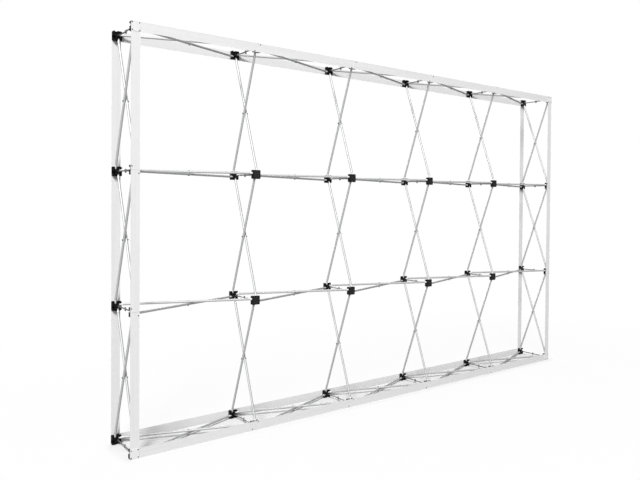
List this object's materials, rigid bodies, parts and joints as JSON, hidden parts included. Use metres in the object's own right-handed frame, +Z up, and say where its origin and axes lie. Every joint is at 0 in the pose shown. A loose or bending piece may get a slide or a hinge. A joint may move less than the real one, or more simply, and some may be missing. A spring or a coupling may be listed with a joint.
{
  "type": "straight pop-up banner wall",
  "caption": "Free-standing straight pop-up banner wall frame: moulded hubs joined by scissor tubes, hook-and-peg locks through its depth, and hook tape round both faces.",
  "frame": {"origin": "middle of the wall's footprint, on the floor", "axes": "+X along the width, +Y from the front face to the rear face, +Z up"},
  "size_m": [3.727, 0.2776, 2.257],
  "materials": {
    "hub_black": "black moulded nylon with a fine satin grain",
    "tube_aluminium": "drawn aluminium, satin anodised",
    "plug_nylon": "white moulded nylon",
    "pin_steel": "bright zinc-plated steel",
    "rivet_aluminium": "bright aluminium rivet",
    "arm_steel": "stamped steel strip, dark grey",
    "tape_white": "white woven hook tape, smooth pile",
    "patch_white": "white doubled tape, smooth",
    "pad_dark": "dark grey hook pad",
    "rivet_grey": "grey aluminium rivet head"
  },
  "bodies": {
    "frame": {"front_hubs_row_1": "hub_black", "rear_hubs_row_1": "hub_black", "row_tubes_1": "tube_aluminium", "front_hubs_row_2": "hub_black", "rear_hubs_row_2": "hub_black", "row_tubes_2": "tube_aluminium", "front_hubs_row_3": "hub_black", "rear_hubs_row_3": "hub_black", "row_tubes_3": "tube_aluminium", "front_hubs_row_4": "hub_black", "rear_hubs_row_4": "hub_black", "row_tubes_4": "tube_aluminium", "column_tubes_1": "tube_aluminium", "column_tubes_2": "tube_aluminium", "column_tubes_3": "tube_aluminium", "column_tubes_4": "tube_aluminium", "column_tubes_5": "tube_aluminium", "column_tubes_6": "tube_aluminium", "tube_end_plugs": "plug_nylon", "tube_pins": "pin_steel", "arm_pins": "pin_steel", "scissor_rivets": "rivet_aluminium", "scissor_washers": "plug_nylon", "peg_arms": "arm_steel", "lock_pegs": "pin_steel", "corner_patches": "patch_white", "face_pads": "pad_dark", "tape_rivets": "rivet_grey", "front_tape_left": "tape_white", "rear_tape_left": "tape_white", "front_tape_right": "tape_white", "rear_tape_right": "tape_white", "front_tape_top": "tape_white", "rear_tape_top": "tape_white", "front_tape_bottom": "tape_white", "rear_tape_bottom": "tape_white"},
    "hook_arm_row_1_column_1": {"hook_arm_row_1_column_1": "arm_steel"},
    "hook_arm_row_1_column_2": {"hook_arm_row_1_column_2": "arm_steel"},
    "hook_arm_row_1_column_3": {"hook_arm_row_1_column_3": "arm_steel"},
    "hook_arm_row_1_column_4": {"hook_arm_row_1_column_4": "arm_steel"},
    "hook_arm_row_1_column_5": {"hook_arm_row_1_column_5": "arm_steel"},
    "hook_arm_row_1_column_6": {"hook_arm_row_1_column_6": "arm_steel"},
    "hook_arm_row_2_column_1": {"hook_arm_row_2_column_1": "arm_steel"},
    "hook_arm_row_2_column_2": {"hook_arm_row_2_column_2": "arm_steel"},
    "hook_arm_row_2_column_3": {"hook_arm_row_2_column_3": "arm_steel"},
    "hook_arm_row_2_column_4": {"hook_arm_row_2_column_4": "arm_steel"},
    "hook_arm_row_2_column_5": {"hook_arm_row_2_column_5": "arm_steel"},
    "hook_arm_row_2_column_6": {"hook_arm_row_2_column_6": "arm_steel"},
    "hook_arm_row_3_column_1": {"hook_arm_row_3_column_1": "arm_steel"},
    "hook_arm_row_3_column_2": {"hook_arm_row_3_column_2": "arm_steel"},
    "hook_arm_row_3_column_3": {"hook_arm_row_3_column_3": "arm_steel"},
    "hook_arm_row_3_column_4": {"hook_arm_row_3_column_4": "arm_steel"},
    "hook_arm_row_3_column_5": {"hook_arm_row_3_column_5": "arm_steel"},
    "hook_arm_row_3_column_6": {"hook_arm_row_3_column_6": "arm_steel"},
    "hook_arm_row_4_column_1": {"hook_arm_row_4_column_1": "arm_steel"},
    "hook_arm_row_4_column_2": {"hook_arm_row_4_column_2": "arm_steel"},
    "hook_arm_row_4_column_3": {"hook_arm_row_4_column_3": "arm_steel"},
    "hook_arm_row_4_column_4": {"hook_arm_row_4_column_4": "arm_steel"},
    "hook_arm_row_4_column_5": {"hook_arm_row_4_column_5": "arm_steel"},
    "hook_arm_row_4_column_6": {"hook_arm_row_4_column_6": "arm_steel"}
  },
  "joints": [
    {"name": "hook_arm_row_1_column_1_lift", "type": "hinge", "parent": "frame", "child": "hook_arm_row_1_column_1", "pos_m": [-1.8357, 0.109, 0.026], "axis": [-1, 0, 0], "range_deg": [0, 75]},
    {"name": "hook_arm_row_1_column_2_lift", "type": "hinge", "parent": "frame", "child": "hook_arm_row_1_column_2", "pos_m": [-1.1007, 0.109, 0.026], "axis": [-1, 0, 0], "range_deg": [0, 75]},
    {"name": "hook_arm_row_1_column_3_lift", "type": "hinge", "parent": "frame", "child": "hook_arm_row_1_column_3", "pos_m": [-0.3657, 0.109, 0.026], "axis": [-1, 0, 0], "range_deg": [0, 75]},
    {"name": "hook_arm_row_1_column_4_lift", "type": "hinge", "parent": "frame", "child": "hook_arm_row_1_column_4", "pos_m": [0.3693, 0.109, 0.026], "axis": [-1, 0, 0], "range_deg": [0, 75]},
    {"name": "hook_arm_row_1_column_5_lift", "type": "hinge", "parent": "frame", "child": "hook_arm_row_1_column_5", "pos_m": [1.1043, 0.109, 0.026], "axis": [-1, 0, 0], "range_deg": [0, 75]},
    {"name": "hook_arm_row_1_column_6_lift", "type": "hinge", "parent": "frame", "child": "hook_arm_row_1_column_6", "pos_m": [1.8393, 0.109, 0.026], "axis": [-1, 0, 0], "range_deg": [0, 75]},
    {"name": "hook_arm_row_2_column_1_lift", "type": "hinge", "parent": "frame", "child": "hook_arm_row_2_column_1", "pos_m": [-1.8357, 0.109, 0.761], "axis": [-1, 0, 0], "range_deg": [0, 75]},
    {"name": "hook_arm_row_2_column_2_lift", "type": "hinge", "parent": "frame", "child": "hook_arm_row_2_column_2", "pos_m": [-1.1007, 0.109, 0.761], "axis": [-1, 0, 0], "range_deg": [0, 75]},
    {"name": "hook_arm_row_2_column_3_lift", "type": "hinge", "parent": "frame", "child": "hook_arm_row_2_column_3", "pos_m": [-0.3657, 0.109, 0.761], "axis": [-1, 0, 0], "range_deg": [0, 75]},
    {"name": "hook_arm_row_2_column_4_lift", "type": "hinge", "parent": "frame", "child": "hook_arm_row_2_column_4", "pos_m": [0.3693, 0.109, 0.761], "axis": [-1, 0, 0], "range_deg": [0, 75]},
    {"name": "hook_arm_row_2_column_5_lift", "type": "hinge", "parent": "frame", "child": "hook_arm_row_2_column_5", "pos_m": [1.1043, 0.109, 0.761], "axis": [-1, 0, 0], "range_deg": [0, 75]},
    {"name": "hook_arm_row_2_column_6_lift", "type": "hinge", "parent": "frame", "child": "hook_arm_row_2_column_6", "pos_m": [1.8393, 0.109, 0.761], "axis": [-1, 0, 0], "range_deg": [0, 75]},
    {"name": "hook_arm_row_3_column_1_lift", "type": "hinge", "parent": "frame", "child": "hook_arm_row_3_column_1", "pos_m": [-1.8357, 0.109, 1.496], "axis": [-1, 0, 0], "range_deg": [0, 75]},
    {"name": "hook_arm_row_3_column_2_lift", "type": "hinge", "parent": "frame", "child": "hook_arm_row_3_column_2", "pos_m": [-1.1007, 0.109, 1.496], "axis": [-1, 0, 0], "range_deg": [0, 75]},
    {"name": "hook_arm_row_3_column_3_lift", "type": "hinge", "parent": "frame", "child": "hook_arm_row_3_column_3", "pos_m": [-0.3657, 0.109, 1.496], "axis": [-1, 0, 0], "range_deg": [0, 75]},
    {"name": "hook_arm_row_3_column_4_lift", "type": "hinge", "parent": "frame", "child": "hook_arm_row_3_column_4", "pos_m": [0.3693, 0.109, 1.496], "axis": [-1, 0, 0], "range_deg": [0, 75]},
    {"name": "hook_arm_row_3_column_5_lift", "type": "hinge", "parent": "frame", "child": "hook_arm_row_3_column_5", "pos_m": [1.1043, 0.109, 1.496], "axis": [-1, 0, 0], "range_deg": [0, 75]},
    {"name": "hook_arm_row_3_column_6_lift", "type": "hinge", "parent": "frame", "child": "hook_arm_row_3_column_6", "pos_m": [1.8393, 0.109, 1.496], "axis": [-1, 0, 0], "range_deg": [0, 75]},
    {"name": "hook_arm_row_4_column_1_lift", "type": "hinge", "parent": "frame", "child": "hook_arm_row_4_column_1", "pos_m": [-1.8357, 0.109, 2.231], "axis": [-1, 0, 0], "range_deg": [0, 75]},
    {"name": "hook_arm_row_4_column_2_lift", "type": "hinge", "parent": "frame", "child": "hook_arm_row_4_column_2", "pos_m": [-1.1007, 0.109, 2.231], "axis": [-1, 0, 0], "range_deg": [0, 75]},
    {"name": "hook_arm_row_4_column_3_lift", "type": "hinge", "parent": "frame", "child": "hook_arm_row_4_column_3", "pos_m": [-0.3657, 0.109, 2.231], "axis": [-1, 0, 0], "range_deg": [0, 75]},
    {"name": "hook_arm_row_4_column_4_lift", "type": "hinge", "parent": "frame", "child": "hook_arm_row_4_column_4", "pos_m": [0.3693, 0.109, 2.231], "axis": [-1, 0, 0], "range_deg": [0, 75]},
    {"name": "hook_arm_row_4_column_5_lift", "type": "hinge", "parent": "frame", "child": "hook_arm_row_4_column_5", "pos_m": [1.1043, 0.109, 2.231], "axis": [-1, 0, 0], "range_deg": [0, 75]},
    {"name": "hook_arm_row_4_column_6_lift", "type": "hinge", "parent": "frame", "child": "hook_arm_row_4_column_6", "pos_m": [1.8393, 0.109, 2.231], "axis": [-1, 0, 0], "range_deg": [0, 75]}
  ]
}
